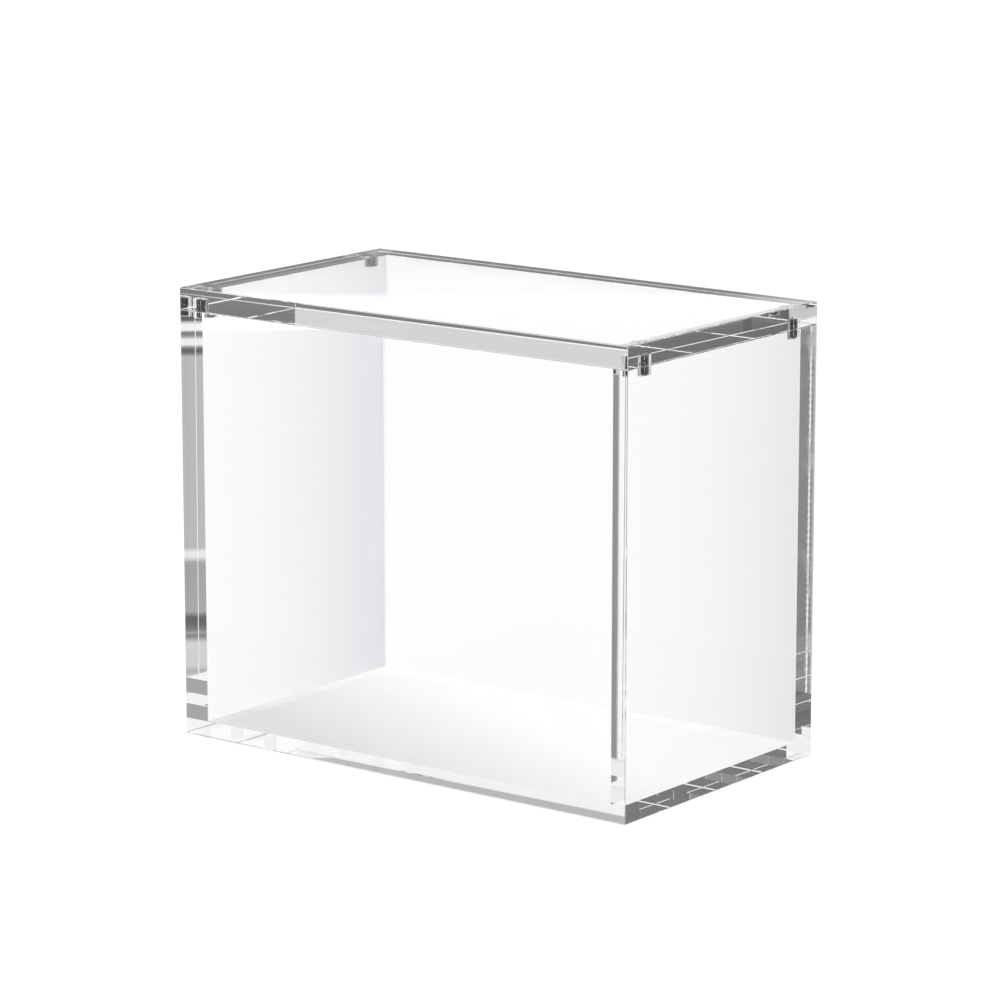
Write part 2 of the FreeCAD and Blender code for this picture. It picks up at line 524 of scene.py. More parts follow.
@dataclass(frozen=True)
class DrilledWall:
    """The wall of a drilled pocket: frosted by the drill, with its rings in it."""

    tint: Colour = (0.97, 0.975, 0.99)
    roughness: float = 0.05
    bump: float = 0.02
    ring_pitch: float = 18000.0
    deep: float = 0.02 * MM

    def build(self) -> bpy.types.Material:
        """Make the material.

        Returns:
            The material.
        """
        mat, tree, shader = new_material("drilled_wall")
        place = tree.node("ShaderNodeTexCoord").outputs["Object"]
        along = tree.node("ShaderNodeSeparateXYZ", {0: place}).outputs[2]
        rings = tree.maths("SINE", tree.times(along, self.ring_pitch))
        grain = tree.noise(place, 2500.0, 2.0)
        height = tree.maths("ADD", tree.times(rings, 0.4), grain)
        tree.link(tree.relief(height, self.bump, self.deep), shader, "Normal")
        uneven = tree.span(grain, 0.3, 0.7, self.roughness * 0.7, self.roughness * 1.3)
        tree.link(uneven, shader, "Roughness")
        glass(shader, self.tint)
        return mat


@dataclass(frozen=True)
class NickelPlate:
    """The nickel plate of a disc magnet, finely grained, dulled in patches and darkened with painted shade.
    """

    # painted shade: both tones sit far below nickel's own colour, standing in for the dark room the magnets
    # reflect
    bright: Colour = (0.11, 0.11, 0.12)
    dull: Colour = (0.05, 0.05, 0.055)
    bump: float = 0.03
    deep: float = 0.01 * MM

    def build(self) -> bpy.types.Material:
        """Make the material.

        Returns:
            The material.
        """
        mat, tree, shader = new_material("nickel_plate")
        place = tree.node("ShaderNodeTexCoord").outputs["Object"]
        patches = tree.span(tree.noise(place, 900.0, 4.0), 0.35, 0.7, 0.0, 1.0)
        ends = {"Factor": patches, "A": (*self.bright, 1.0), "B": (*self.dull, 1.0)}
        plate = tree.node("ShaderNodeMix", ends, data_type="RGBA")
        tree.link(plate.outputs["Result"], shader, "Base Color")
        tree.link(tree.span(patches, 0.0, 1.0, 0.05, 0.16), shader, "Roughness")
        stretched = tree.node("ShaderNodeMapping", {"Vector": place, "Scale": (1.0, 1.0, 12.0)})
        grain = tree.noise(stretched.outputs[0], 1500.0, 2.0)
        tree.link(tree.relief(grain, self.bump, self.deep), shader, "Normal")
        shader.inputs["Metallic"].default_value = 1.0
        return mat


def glass(shader: bpy.types.Node, tint: Colour) -> None:
    """Set a Principled shader to clear acrylic of a tint."""
    shader.inputs["Base Color"].default_value = (*tint, 1.0)
    shader.inputs["Transmission Weight"].default_value = 1.0
    shader.inputs["IOR"].default_value = ACRYLIC_IOR


# ---------------------------------------------------------------------------------------------
# sheets
# ---------------------------------------------------------------------------------------------


@dataclass
class Sheet:
    """One acrylic sheet of the case, made to the box of its CAD node.

    Attributes:
        node: the CAD node it stands for.
        body: the CAD body it rides on.
        thin: the axis across its thickness.
        eased: pairs of sides whose shared edge is eased.
        bonded: each side that is cemented, with the node of the neighbour that covers it.
        pockets: centres of the magnet pockets, at the face they open through.
        pocket_side: the side they open through.
        pocket_depth: the depth of a pocket to the tip of its cone.
        pocket_radius: the radius of a pocket.
        drill_cone: the height of the cone that the drill leaves.
        drill_steps: the number of faces round a pocket.
        ease: the width of an eased edge.
        gap: the film of air under the lid.
        sits_under_lid: whether the lid rests on it, so that its top keeps that film.
    """

    node: str
    body: str
    thin: int
    eased: list[tuple[Side, Side]] = field(default_factory=list)
    bonded: list[tuple[Side, str]] = field(default_factory=list)
    pockets: list[np.ndarray] = field(default_factory=list)
    pocket_side: Side = Side.UNDER
    pocket_depth: float = 3.85 * MM
    pocket_radius: float = 3.2 * MM
    drill_cone: float = 0.35 * MM
    drill_steps: int = 120
    ease: float = 0.3 * MM
    gap: float = 0.06 * MM
    sits_under_lid: bool = True

    def limits(self) -> np.ndarray:
        """The sheet's lowest and highest corner, with its top a hair below the lid if it carries it.

        Returns:
            A row for the low corner and one for the high corner.
        """
        low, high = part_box(self.node)
        ends = np.array([low[:], high[:]])
        if self.sits_under_lid:
            ends[1, 2] -= self.gap
        return ends

    def cuts(self, ends: np.ndarray) -> list[np.ndarray]:
        """For each axis, the sheet's ends and the neighbours' ends that fall between them.

        Args:
            ends: the sheet's low and high corners.

        Returns:
            The places of the grid lines on each axis.
        """
        lines = [{round(float(ends[0, axis]), 7), round(float(ends[1, axis]), 7)} for axis in range(3)]
        for side, neighbour in self.bonded:
            low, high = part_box(neighbour)
            for axis in range(3):
                if axis == side.value[0]:
                    continue
                first, last = ends[0, axis] + self.ease, ends[1, axis] - self.ease
                places = [round(float(x), 7) for x in (low[axis], high[axis])]
                lines[axis].update(x for x in places if first < x < last)
        return [np.array(sorted(values)) for values in lines]

    def dress_of(self, mesh: bpy.types.Mesh) -> np.ndarray:
        """The slot number of each face: cemented, cut edge or cast face.

        Args:
            mesh: the sheet's mesh.

        Returns:
            A slot number for each face.
        """
        centres, normals = polygon_arrays(mesh)
        slots = np.where(np.abs(normals[:, self.thin]) > SQUARE_ON, Dress.FACE.value, Dress.EDGE.value)
        for side, neighbour in self.bonded:
            axis, sign = side.value
            low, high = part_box(neighbour)
            across = [other for other in range(3) if other != axis]
            covered = normals[:, axis] * sign > SQUARE_ON
            for other in across:
                covered &= (centres[:, other] > low[other]) & (centres[:, other] < high[other])
            slots[covered] = Dress.JOINT.value
        return slots

    def weigh_edges(self, mesh: bpy.types.Mesh, ends: np.ndarray) -> None:
        """Give each edge its share of the ease: whole where it is eased, none elsewhere.

        Args:
            mesh: the mesh.
            ends: the sheet's low and high corners.
        """
        points = np.empty(len(mesh.vertices) * 3)
        mesh.vertices.foreach_get("co", points)
        pairs = np.empty(len(mesh.edges) * 2, int)
        mesh.edges.foreach_get("vertices", pairs)
        ends_of = points.reshape(-1, 3)[pairs.reshape(-1, 2)]
        weights = np.zeros(len(mesh.edges))
        for sides in self.eased:
            on = np.ones(len(weights), bool)
            for side in sides:
                axis, sign = side.value
                plane = ends[(sign + 1) // 2, axis]
                on &= (np.abs(ends_of[:, :, axis] - plane) < ON_PLANE).all(axis=1)
            weights[on] = 1.0
        layer = mesh.attributes.new("bevel_weight_edge", "FLOAT", "EDGE")
        layer.data.foreach_set("value", weights)

    def cutter(self, place: np.ndarray, number: int) -> bpy.types.Object:
        """A drill's shape for one pocket: a cylinder with a slightly coned end.

        The profile runs from the axis out to the wall, along it, and back to the axis, past the
        open face at one end and deeper by the drill's cone at the other.

        Args:
            place: the centre of the pocket's mouth.
            number: the pocket's number, for the name.

        Returns:
            The cutter's object.
        """
        up = -self.pocket_side.value[1]
        beyond = 0.5 * MM
        profile = np.array(
            [
                [0.0, -beyond],
                [self.pocket_radius, -beyond],
                [self.pocket_radius, self.pocket_depth - self.drill_cone],
                [0.0, self.pocket_depth],
            ]
        )
        if up < 0:
            profile = profile[::-1] * np.array([1.0, -1.0])
        points, faces = turned_surface(place, profile, self.drill_steps)
        obj = new_object(f"{self.node}_drill_{number}", points, faces)
        obj.data.polygons.foreach_set("material_index", np.full(len(faces), Dress.DRILLED.value))
        return obj

    def build(self, dress: list[bpy.types.Material]) -> bpy.types.Object:
        """Make the sheet, ease its edges, drill it and put its materials on.

        Args:
            dress: the sheet's materials in slot order.

        Returns:
            The finished sheet.
        """
        ends = self.limits()
        points, quads = lattice_box(self.cuts(ends))
        obj = new_object(f"{self.node}_clear", points, quads)
        for mat in dress:
            obj.data.materials.append(mat)
        obj.data.polygons.foreach_set("material_index", self.dress_of(obj.data))
        self.weigh_edges(obj.data, ends)
        bevel = obj.modifiers.new("eased", "BEVEL")
        bevel.limit_method = "WEIGHT"
        bevel.width = self.ease
        bevel.segments = 3
        bevel.material = Dress.EDGE.value
        bevel.use_clamp_overlap = False
        cutters = [self.cutter(place, number) for number, place in enumerate(self.pockets)]
        for cutter in cutters:
            for mat in dress:
                cutter.data.materials.append(mat)
            drill = obj.modifiers.new("pocket", "BOOLEAN")
            drill.operation = "DIFFERENCE"
            drill.solver = "EXACT"
            drill.material_mode = "INDEX"
            drill.object = cutter
        settle(obj)
        for cutter in cutters:
            drop(cutter)
        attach(obj, self.body)
        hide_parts(self.node)
        return obj


@dataclass
class DiscMagnet:
    """A disc magnet with rounded rims, made to the box of its CAD node."""

    node: str
    body: str
    rim: float = 0.2 * MM
    rim_steps: int = 4
    steps: int = 96
    flat: float = 0.99

    def profile(self, radius: float, height: float) -> np.ndarray:
        """The half section: out along the lower face, round the rim, up the wall, round and back.

        Args:
            radius: the magnet's radius.
            height: the magnet's height.

        Returns:
            Points in the (r, z) plane, from the axis out and back.
        """
        inner = radius - self.rim
        lower = arc((inner, self.rim), self.rim, -90, 0, self.rim_steps)
        upper = arc((inner, height - self.rim), self.rim, 0, 90, self.rim_steps)
        return np.concatenate([[[0.0, 0.0]], lower, upper, [[0.0, height]]])

    def build(self, plate: bpy.types.Material) -> bpy.types.Object:
        """Make the disc and plate it.

        Args:
            plate: the plated metal.

        Returns:
            The finished magnet.
        """
        low, high = (np.array(corner[:]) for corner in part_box(self.node))
        centre = np.array([*(low + high)[:2] / 2, low[2]])
        radius, height = (high - low)[0] / 2, (high - low)[2]
        points, faces = turned_surface(centre, self.profile(radius, height), self.steps)
        obj = new_object(f"{self.node}_plated", points, faces)
        obj.data.materials.append(plate)
        _, normals = polygon_arrays(obj.data)
        obj.data.polygons.foreach_set("use_smooth", np.abs(normals[:, 2]) < self.flat)
        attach(obj, self.body)
        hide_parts(self.node)
        return obj


# ---------------------------------------------------------------------------------------------
# sub-assemblies
# ---------------------------------------------------------------------------------------------


@dataclass
class Finishes:
    """The finishes of the case, each made once."""

    face: bpy.types.Material
    edge: bpy.types.Material
    joint: bpy.types.Material
    drilled: bpy.types.Material
    plate: bpy.types.Material

    @classmethod
    def make(cls) -> "Finishes":
        """Build every finish.

        Returns:
            The finishes, each made once.
        """
        return cls(
            ClearFace().build(),
            PolishedEdge().build(),
            BondedJoint().build(),
            DrilledWall().build(),
            NickelPlate().build(),
        )

    def sheet(self) -> list[bpy.types.Material]:
        """The finishes of a sheet in slot order."""
        return [self.face, self.edge, self.joint, self.drilled]


CORNER_NAMES = ("front_left", "front_right", "back_left", "back_right")
SIDE_SHEETS = (("left_panel", Side.LEFT, Side.RIGHT), ("right_panel", Side.RIGHT, Side.LEFT))
FACE_SHEETS = (("front_panel", Side.FRONT, Side.BACK), ("back_panel", Side.BACK, Side.FRONT))


def magnet_places(prefix: str, height: float) -> dict[str, np.ndarray]:
    """The axis of each magnet of one kind, at a height.

    Args:
        prefix: lid or wall.
        height: the height of the face that the pockets open through.

    Returns:
        The centre of each pocket's mouth, by corner.
    """
    places = {}
    for corner in CORNER_NAMES:
        low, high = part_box(f"{prefix}_magnet_{corner}")
        places[corner] = np.array([(low[0] + high[0]) / 2, (low[1] + high[1]) / 2, height])
    return places


def magnets(prefix: str, body: str, plate: bpy.types.Material) -> list[bpy.types.Object]:
    """Make the four magnets of one kind."""
    return [DiscMagnet(f"{prefix}_magnet_{corner}", body).build(plate) for corner in CORNER_NAMES]


@dataclass
class Lid:
    """The loose lid: one thick sheet with four magnets in blind pockets underneath."""

    body: str = "lid"

    def build(self, finishes: Finishes) -> list[bpy.types.Object]:
        """Make the lid and its magnets.

        Args:
            finishes: the materials.

        Returns:
            The lid's sheet and its magnets.
        """
        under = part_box("lid_panel")[0][2]
        around = (Side.LEFT, Side.FRONT, Side.RIGHT, Side.BACK)
        eased = [(side, level) for side in around for level in (Side.UNDER, Side.TOP)]
        eased += list(zip(around, around[1:] + around[:1]))
        sheet = Sheet(
            "lid_panel",
            self.body,
            thin=2,
            eased=eased,
            pockets=list(magnet_places("lid", under).values()),
            pocket_side=Side.UNDER,
            sits_under_lid=False,
        )
        return [sheet.build(finishes.sheet()), *magnets("lid", self.body, finishes.plate)]


@dataclass
class Box:
    """The bonded box: front and back sheets, side sheets between them, and the base."""

    body: str = "case"

    def faces(self) -> list[Sheet]:
        """The front and back sheets.

        Returns:
            The front and back sheets.
        """
        sheets = []
        for node, outer, inner in FACE_SHEETS:
            eased = [(outer, Side.LEFT), (outer, Side.RIGHT), (outer, Side.UNDER), (outer, Side.TOP)]
            eased += [(end, level) for end in (Side.LEFT, Side.RIGHT) for level in (Side.UNDER, Side.TOP)]
            bonded = [(inner, name) for name in ("left_panel", "right_panel", "base_panel")]
            sheets.append(Sheet(node, self.body, thin=1, eased=eased, bonded=bonded))
        return sheets

    def sides(self) -> list[Sheet]:
        """The side sheets, with the magnet pockets in their top edges.

        Returns:
            The left and right sheets.
        """
        sheets = []
        for node, outer, inner in SIDE_SHEETS:
            eased = [(outer, Side.UNDER), (outer, Side.TOP)]
            bonded = [(Side.FRONT, "front_panel"), (Side.BACK, "back_panel"), (inner, "base_panel")]
            places = magnet_places("wall", float(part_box(node)[1][2]))
            hand = node.split("_")[0]
            pockets = [place for corner, place in places.items() if hand in corner]
            sheet = Sheet(node, self.body, 0, eased, bonded, pockets, pocket_side=Side.TOP)
            sheets.append(sheet)
        return sheets

    def base(self) -> Sheet:
        """The base sheet, cemented on all four ends."""
        bonded = [(outer, node) for node, outer, _ in SIDE_SHEETS + FACE_SHEETS]
        return Sheet("base_panel", self.body, thin=2, bonded=bonded, sits_under_lid=False)

    def build(self, finishes: Finishes) -> list[bpy.types.Object]:
        """Make the five sheets and the magnets in the side sheets."""
        sheets = [*self.faces(), *self.sides(), self.base()]
        made = [sheet.build(finishes.sheet()) for sheet in sheets]
        return made + magnets("wall", self.body, finishes.plate)


# ---------------------------------------------------------------------------------------------
# the studio
# ---------------------------------------------------------------------------------------------


@dataclass
class Studio:
    """A pale floor, sheets of painted shade, a world of white light and grey flags, and the camera.

    Turn is the angle from +y towards +x and rise the angle above the horizon, both in degrees.

    Attributes:
        corner: the turn, either way, of the two corners of the set behind the case.
        opposite: the turn of the two corners in front of it.
        rim: the rise of the dark rim above and below the horizon.
        horizon: the rise under which light counts as going down.
        steep_from: the rise at which the set begins to give way to an even tone.
        steep_to: the rise from which there is only that tone.
        bright: the strength of a bright strip.
        strip_stops: rise and tone along the light and dark strips.
        turns: how many times light may turn inside the sheets.
    """

    corner: float = 37.5
    opposite: float = 142.5
    rim: float = 9.05
    horizon: float = -2.0
    steep_from: float = 34.0
    steep_to: float = 42.0
    bright: float = 6.0
    strip_low: float = -16.0
    strip_range: float = 8.0
    pool_away: float = 1.08
    pool_way: tuple[float, float] = (-0.609, 0.793)
    pool_strength: float = 2.3
    shade_sheet_gap: float = 4 * MM
    shade_sheet_inset: float = 12 * MM
    shade_sheet_power: float = 2.2
    turns: int = 64
    azimuth: float = 37.46
    elevation: float = 12.11
    distance: float = 1.5785
    lens: float = 160.92
    aim: tuple[float, float, float] = (0.0004, 0.0020, 0.0886)
    floor_size: float = 60.0
    floor_gap: float = 0.1 * MM
    # the grey of the painted shade laid over what is seen through the walls
    painted_shade_tone: Colour = (0.8, 0.797, 0.83)
    strip_stops: tuple[tuple[float, float], ...] = (
        (-16.0, 0.45),
        (-15.0, 0.85),
        (-14.84, 0.34),
        (-14.75, 0.98),
        (-14.65, 0.98),
        (-14.58, 0.36),
        (-14.5, 0.98),
        (-14.42, 0.35),
        (-14.35, 0.73),
        (-14.27, 0.41),
        (-14.2, 0.65),
        (-13.9, 0.65),
        (-13.82, 0.17),
        (-13.78, 0.36),
        (-13.73, 0.16),
        (-13.58, 0.11),
        (-13.5, 0.4),
        (-12.88, 0.37),
        (-12.8, 0.86),
        (-12.74, 0.86),
        (-12.7, 0.5),
        (-10.25, 0.5),
        (-10.2, 0.13),
        (-10.13, 0.13),
        (-10.11, 0.9),
        (-10.02, 0.9),
        (-9.99, 0.22),
        (-9.93, 0.22),
        (-9.91, 0.95),
        (-9.82, 0.95),
        (-9.8, 0.12),
    )

    def light(self) -> None:
        """A soft white world that shows grey flags to light turned inside the sheets.

        Light that has been reflected twice or more sees the flags and their strips, light that has
        been reflected once sees grey cards, and all else sees plain white.
        """
        world = bpy.data.worlds.new("soft_room")
        bpy.context.scene.world = world
        world.use_nodes = True
        tree = Tree(world.node_tree)
        way = tree.node("ShaderNodeTexCoord").outputs["Generated"]
        x, y, z = tree.node("ShaderNodeSeparateXYZ", {0: way}).outputs
        rise = tree.maths("DEGREES", tree.maths("ARCSINE", z))
        turn = tree.maths("DEGREES", tree.maths("ARCTAN2", x, y))
        path = tree.node("ShaderNodeLightPath").outputs
        depth = path["Transmission Depth"]
        room = tree.span(z, 0.1, 0.6, 1.0, 1.25)
        card = tree.times(room, self.sky(tree, depth, turn, rise), self.card(tree, turn, rise))
        card = tree.mixed(tree.at_least(depth, 3), card, self.hollow(tree, card, depth, turn, rise))
        veil = tree.times(tree.fewer(depth, 1), tree.less(rise, self.horizon))
        card = tree.mixed(veil, card, 0.5)
        even = tree.mixed(tree.at_least(path["Diffuse Depth"], 1), 0.4, 1.0)
        card = tree.mixed(self.steep(tree, rise), card, even)
        seen = tree.mixed(tree.at_least(path["Glossy Depth"], 1), room, card)
        fresh = tree.fewer(path["Diffuse Depth"], 1)
        twice = tree.times(tree.at_least(path["Glossy Depth"], 2), fresh)
        shade = tree.mixed(twice, seen, self.flags(tree, path["Glossy Depth"], turn, rise))
        back = tree.node("ShaderNodeBackground", {"Color": (1.0, 1.0, 1.0, 1.0), "Strength": shade})
        tree.node("ShaderNodeOutputWorld", {"Surface": back.outputs[0]})

    def steep(self, tree: Tree, rise: object) -> Socket:
        """How far a way is from level: 0 near the horizon, 1 well above or below it."""
        return tree.span(tree.size(rise), self.steep_from, self.steep_to, 0.0, 1.0)

    def twist(self, tree: Tree, turn: object) -> Socket:
        """The sine of twice the turn, backwards: 1 to the front right and back left."""
        return tree.maths("SINE", tree.maths("RADIANS", tree.times(turn, -2.0)))

    def sky(self, tree: Tree, depth: object, turn: object, rise: object) -> Socket:
        """What one reflection sees a little above the horizon.

        Args:
            tree: the world's nodes.
            depth: how many faces the light has gone through.
            turn: its turn in degrees.
            rise: its rise in degrees.

        Returns:
            The tone: a bright band with a dark line to light from outside, grey to light in a sheet.
        """
        inside = tree.times(tree.close(depth, 2.0, 0.5), tree.close(turn, -self.corner, 20.0))
        base_sheen = tree.span(rise, 12.6, 16.0, 1.0, 0.45)
        band = tree.span(tree.apart(rise, self.rim), 0.4, 0.55, 0.35, 1.3)
        tone = tree.mixed(tree.fewer(depth, 1), tree.mixed(inside, base_sheen, 0.2), band)
        return tree.mixed(tree.times(tree.more(rise, 2.0), tree.less(rise, 20.0)), 1.0, tone)

    def card(self, tree: Tree, turn: object, rise: object) -> Socket:
        """What one reflection sees below the horizon.

        A falling tone in each wall's own span of turn to the back right, and a dark room to the front
        right and back left with one bright strip in it.

        Args:
            tree: the world's nodes.
            turn: the light's turn in degrees.
            rise: its rise in degrees.

        Returns:
            The card's tone.
        """
        left = tree.span(turn, 38.9, 41.6, 0.0, 1.0)
        right = tree.span(turn, 33.4, 36.4, 0.0, 1.0)
        tone = tree.mixed(tree.more(turn, self.corner), right, left)
        soft = tree.mixed(tree.close(turn, self.corner, 8.0), 1.0, tone)
        dark = tree.span(self.twist(tree, turn), 0.0, 0.5, 0.0, 1.0)
        half_turn = tree.maths("MODULO", tree.maths("ADD", turn, 360.0), 180.0)
        strip = tree.mixed(tree.close(half_turn, self.opposite, 7.0), 0.03, self.bright)
        return tree.mixed(tree.less(rise, self.horizon), 1.0, tree.mixed(dark, soft, strip))

    def hollow(self, tree: Tree, card: object, depth: object, turn: object, rise: object) -> Socket:
        """What one reflection sees from deep inside: black all round, with one bright upright strip.

        The spans that the walls and the base send their reflections to stay as they are.

        Args:
            tree: the world's nodes.
            card: what the reflection sees otherwise.
            depth: how many faces the light has gone through.
            turn: its turn in degrees.
            rise: its rise in degrees.

        Returns:
            The tone.
        """
        behind = tree.less(tree.size(turn), 50.0)
        beside = tree.close(turn, -self.opposite, 8.0)
        kept = tree.times(tree.either(behind, beside), tree.fewer(depth, 5))
        kept = tree.either(kept, tree.times(tree.more(rise, 0.0), tree.other(behind)))
        strip = tree.mixed(tree.close(turn, self.opposite, 11.0), 0.02, self.bright)
        return tree.mixed(kept, strip, card)

    def flags(self, tree: Tree, count: object, turn: object, rise: object) -> Socket:
        """The flags: dark to front left and back right, lighter across from them, white well above.

        Args:
            tree: the world's nodes.
            count: how many times the light has been reflected.
            turn: its turn in degrees.
            rise: its rise in degrees.

        Returns:
            The flags' tone.
        """
        few = tree.fewer(count, 4)
        over = tree.mixed(few, self.flags_above(tree, turn, rise), 1.0)
        strips = self.flags_below(tree, count, turn, rise)
        below = tree.mixed(few, strips, 0.69)
        across = tree.mixed(tree.more(rise, 0.0), below, over)
        darkest = tree.mixed(tree.at_least(count, 16), 0.115, self.side_strips(tree, turn))
        light_side = tree.span(self.twist(tree, turn), -0.3, 0.5, 0.0, 1.0)
        flag = tree.mixed(light_side, tree.mixed(few, darkest, 0.2), across)
        back = tree.span(tree.size(turn), 80.0, 95.0, 1.0, 0.0)
        flag = tree.mixed(tree.times(back, tree.other(few)), flag, across)
        rim = tree.close(tree.size(rise), self.rim, 0.45)
        flag = tree.mixed(tree.times(rim, tree.other(few)), flag, 0.13)
        return tree.mixed(self.steep(tree, rise), flag, 1.1)

    def flags_below(self, tree: Tree, count: object, turn: object, rise: object) -> Socket:
        """The flags under the horizon: strips that only light reflected many times sees.

        Args:
            tree: the world's nodes.
            count: how many times the light has been reflected.
            turn: its turn in degrees.
            rise: its rise in degrees.

        Returns:
            Their tone.
        """
        wide = tree.span(tree.size(turn), 38.3, 38.8, 0.0, 1.0)
        deep = tree.mixed(wide, self.upright_strips(tree, turn), self.strips(tree, rise))
        return tree.mixed(tree.at_least(count, 6), 0.95, deep)

    def flags_above(self, tree: Tree, turn: object, rise: object) -> Socket:
        """The flags over the horizon: white to the right, and elsewhere grey with a lighter foot.

        Args:
            tree: the world's nodes.
            turn: the light's turn in degrees.
            rise: its rise in degrees.

        Returns:
            Their tone.
        """
        right = tree.times(tree.more(turn, 0.0), tree.more(rise, 14.95))
        foot = tree.times(tree.less(tree.size(turn), 36.3), tree.less(rise, 16.03))
        ahead = tree.less(turn, 0.0)
        foot = tree.either(foot, tree.times(ahead, tree.less(rise, 15.4)))
        grey = tree.mixed(ahead, 0.38, 0.5)
        tone = tree.mixed(foot, grey, tree.span(rise, 10.5, 15.0, 0.6, 0.9))
        return tree.mixed(right, tone, 1.0)

    def upright_strips(self, tree: Tree, turn: object) -> Socket:
        """A narrow white strip beside a grey one, by turn in degrees."""
        inner = tree.span(turn, -36.04, -36.01, 0.6, 0.29)
        return tree.mixed(tree.span(turn, -35.92, -35.89, 0.0, 1.0), inner, 1.0)

    def side_strips(self, tree: Tree, turn: object) -> Socket:
        """Grey, a narrow light strip, and grey that fades to light, by turn in degrees.

        Args:
            tree: the world's nodes.
            turn: the light's turn in degrees.

        Returns:
            The strips' tone.
        """
        place = -146.584
        fade = tree.span(turn, -146.615, -146.665, 0.24, 0.75)
        grey = tree.mixed(tree.less(turn, place), 0.21, fade)
        return tree.mixed(tree.close(turn, place, 0.012), grey, 0.85)

    def strips(self, tree: Tree, rise: object) -> Socket:
        """Light and dark strips, by height above the horizon.

        Args:
            tree: the world's nodes.
            rise: the light's rise in degrees.

        Returns:
            The strips' tone.
        """
        low, high = self.strip_low, self.strip_low + self.strip_range
        ramp = tree.node("ShaderNodeValToRGB", {0: tree.span(rise, low, high, 0.0, 1.0)})
        ramp.color_ramp.interpolation = "LINEAR"
        elements = ramp.color_ramp.elements
        while len(elements) > 1:
            elements.remove(elements[-1])
        for number, (angle, tone) in enumerate(self.strip_stops):
            share = (angle - low) / self.strip_range
            element = elements[0] if number == 0 else elements.new(share)
            element.position = share
            element.color = (tone, tone, tone, 1.0)
        return ramp.outputs[0]

    def floor(self) -> None:
        """A pale floor just under the case, so that air lies between, which glows with painted light where
        seen through the case.

        Light turned inside the sheets passes it, and sees the flags instead.
        """
        half = self.floor_size / 2
        corners = np.array([[-half, -half, 0], [half, -half, 0], [half, half, 0], [-half, half, 0]])
        corners[:, 2] = -self.floor_gap
        floor = new_object("studio_floor", corners, [[0, 1, 2, 3]])
        mat, tree, shader = new_material("pale_floor")
        shader.inputs["Base Color"].default_value = (0.9, 0.9, 0.9, 1.0)
        shader.inputs["Roughness"].default_value = 0.9
        shader.inputs["Specular IOR Level"].default_value = 0.0
        path = tree.node("ShaderNodeLightPath").outputs
        fresh = tree.fewer(path["Diffuse Depth"], 1)
        turned = tree.times(tree.at_least(path["Glossy Depth"], 1), fresh)
        through = tree.times(tree.at_least(path["Transmission Depth"], 2), fresh)
        # painted light: where the floor is seen straight through the case it glows instead of being lit
        lit = tree.node("ShaderNodeEmission", {"Strength": self.lit_floor(tree)}).outputs[0]
        clear = tree.node("ShaderNodeBsdfTransparent").outputs[0]
        seen = tree.node("ShaderNodeMixShader", {0: through, 1: shader.outputs[0], 2: lit}).outputs[0]
        both = tree.node("ShaderNodeMixShader", {0: turned, 1: seen, 2: clear}).outputs[0]
        out = next(node for node in tree.tree.nodes if node.type == "OUTPUT_MATERIAL")
        tree.link(both, out, "Surface")
        floor.data.materials.append(mat)
        floor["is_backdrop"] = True

    def lit_floor(self, tree: Tree) -> Socket:
        """The painted light that the floor gives off where it is seen through the case, by place in metres.

        Under the case it rises from the front left, elsewhere it is plain, and a pool of light lies
        well behind the case, to the back left.

        Args:
            tree: the floor's nodes.

        Returns:
            The strength of its light.
        """
        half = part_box("lid_panel")[1]
        place = tree.node("ShaderNodeTexCoord").outputs["Object"]
        x, y, _ = tree.node("ShaderNodeSeparateXYZ", {0: place}).outputs
        away = tree.maths("SQRT", tree.maths("ADD", tree.times(x, x), tree.times(y, y)))
        # painted light: under the case the glow is weakest to the front left and rises towards the back
        # right
        near = tree.span(tree.maths("ADD", x, tree.times(y, 2.2)), -0.14, 0.05, 1.02, 1.5)
        under = [tree.less(tree.size(at), float(end)) for at, end in ((x, half[0]), (y, half[1]))]
        plain = tree.mixed(tree.times(*under), 1.07, near)
        pool = tree.span(tree.apart(away, self.pool_away), 0.16, 0.22, self.pool_strength, 1.0)
        facing = [tree.times(at, share) for at, share in zip((x, y), self.pool_way)]
        ahead = tree.maths("DIVIDE", tree.maths("ADD", *facing), away)
        return tree.either(plain, tree.mixed(tree.span(ahead, 0.9, 0.94, 0.0, 1.0), 1.0, pool))

    def painted_shade_sheets(self) -> None:
        """Four sheets of painted shade, each just outside one wall, that dim only what is seen through the
        case.

        A sheet is clear at one end of its wall and greyest at the other, painting a shade across the wall;
        opposite sheets are turned half round from each other. Light that has not come through an acrylic
        sheet passes it unchanged.
        """
        low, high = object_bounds()
        gap, inset = self.shade_sheet_gap, self.shade_sheet_inset
        x0, x1, y0, y1 = low[0] - gap, high[0] + gap, low[1] - gap, high[1] + gap
        plans = {
            "back": ((inset, y1), (x1, y1)),
            "front": ((-inset, y0), (x0, y0)),
            "left": ((x0, y0 + gap), (x0, y1)),
            "right": ((x1, y1 - gap), (x1, y0)),
        }
        dressed = self.painted_shade_material()
        for name, (start, end) in plans.items():
            along = np.array([start, end, end, start])
            points = np.column_stack([along, np.array([0.0, 0.0, high[2], high[2]])])
            shade_sheet = new_object(f"studio_painted_shade_{name}", points, [[0, 1, 2, 3]])
            shade = shade_sheet.data.attributes.new("grey", "FLOAT", "POINT")
            shade.data.foreach_set("value", np.array([0.0, 1.0, 1.0, 0.0]))
            shade_sheet.data.materials.append(dressed)
            shade_sheet.visible_camera = False
            shade_sheet.visible_diffuse = False
            shade_sheet.visible_shadow = False
            shade_sheet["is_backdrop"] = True

    def painted_shade_material(self) -> bpy.types.Material:
        """A sheet of painted shade: clear, except to light that has come through an acrylic sheet without
        reflection.

        Returns:
            The material, which all four sheets of painted shade share.
        """
        mat = bpy.data.materials.new("studio_painted_shade")
        mat.use_nodes = True
        tree = Tree(mat.node_tree)
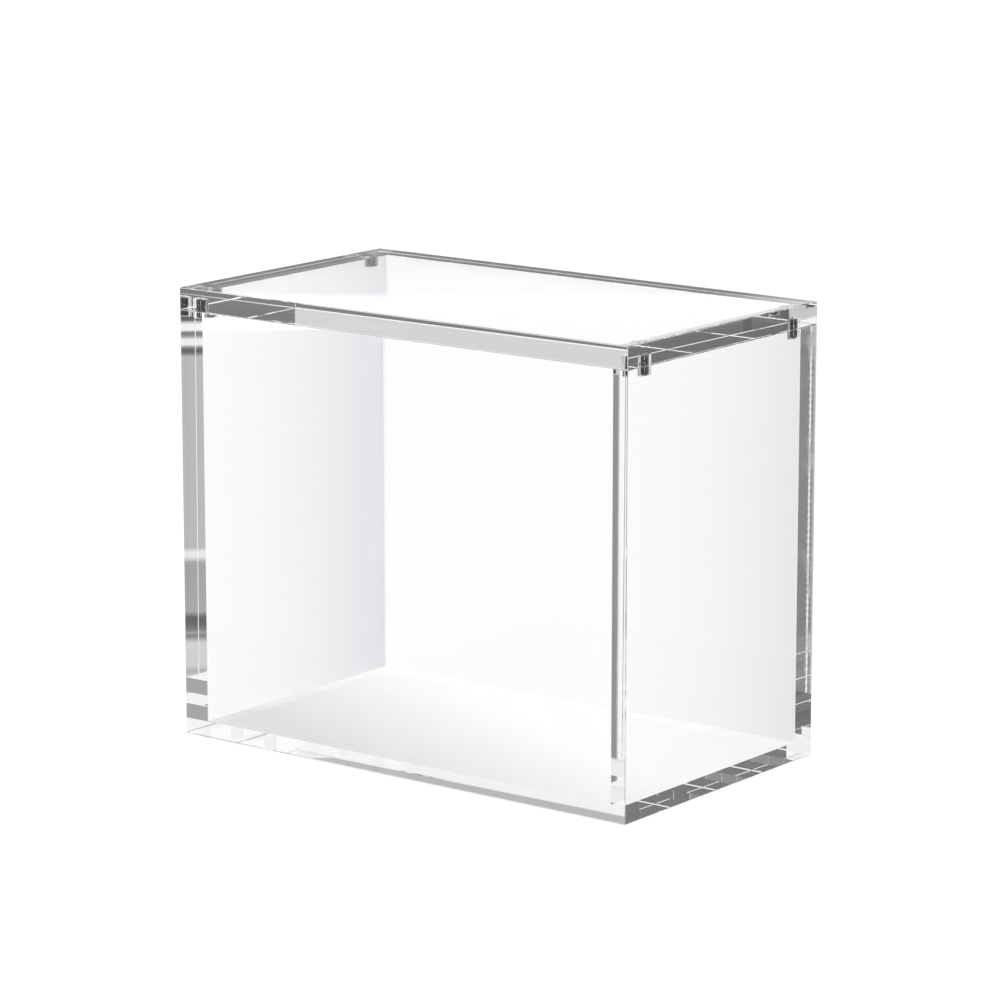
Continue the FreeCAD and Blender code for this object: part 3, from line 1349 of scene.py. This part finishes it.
        grey = tree.node("ShaderNodeAttribute", attribute_name="grey").outputs["Fac"]
        path = tree.node("ShaderNodeLightPath").outputs
        seen = tree.times(tree.at_least(path["Transmission Depth"], 2), tree.fewer(path["Glossy Depth"], 1))
        soft = tree.times(tree.fewer(path["Diffuse Depth"], 1), tree.maths("POWER", grey, self.shade_sheet_power))
        # painted shade: light seen through the case is greyed here, most at the far end of each sheet
        ends = {"Factor": tree.times(seen, soft), "A": (1.0, 1.0, 1.0, 1.0), "B": (*self.painted_shade_tone, 1.0)}
        tone = tree.node("ShaderNodeMix", ends, data_type="RGBA")
        clear = tree.node("ShaderNodeBsdfTransparent", {"Color": tone.outputs["Result"]})
        tree.node("ShaderNodeOutputMaterial", {"Surface": clear.outputs[0]})
        return mat

    def camera(self) -> None:
        """The camera, looking down a little at the front right corner."""
        turn, rise = math.radians(self.azimuth), math.radians(self.elevation)
        back = Vector((math.sin(turn) * math.cos(rise), -math.cos(turn) * math.cos(rise), math.sin(rise)))
        data = bpy.data.cameras.new("camera")
        data.lens = self.lens
        data.sensor_width = 36.0
        data.clip_end = 200.0
        camera = bpy.data.objects.new("camera", data)
        camera.location = Vector(self.aim) + back * self.distance
        camera.rotation_mode = "QUATERNION"
        camera.rotation_quaternion = (-back).to_track_quat("-Z", "Y")
        bpy.context.scene.collection.objects.link(camera)
        bpy.context.scene.camera = camera

    def rays(self) -> None:
        """Let light take as many turns inside the sheets as it needs."""
        scene = bpy.context.scene
        scene.view_settings.view_transform = "Standard"
        scene.view_settings.look = "None"
        cycles = scene.cycles
        cycles.max_bounces = self.turns
        cycles.glossy_bounces = self.turns
        cycles.transmission_bounces = self.turns
        cycles.transparent_max_bounces = self.turns
        cycles.diffuse_bounces = 4
        cycles.caustics_reflective = True
        cycles.caustics_refractive = True
        cycles.blur_glossy = 0.0
        cycles.sample_clamp_indirect = 4.0

    def build(self) -> None:
        """Set up floor, light and camera."""
        self.floor()
        self.painted_shade_sheets()
        self.light()
        self.camera()
        self.rays()


def main() -> None:
    """Build the case round its frame, then the studio."""
    logging.basicConfig(level=logging.INFO, format="%(name)s: %(message)s")
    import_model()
    finishes = Finishes.make()
    for assembly in (Box(), Lid()):
        for piece in assembly.build(finishes):
            LOG.info("%s: %d faces", piece.name, len(piece.data.polygons))
    Studio().build()


if __name__ == "__main__":
    main()
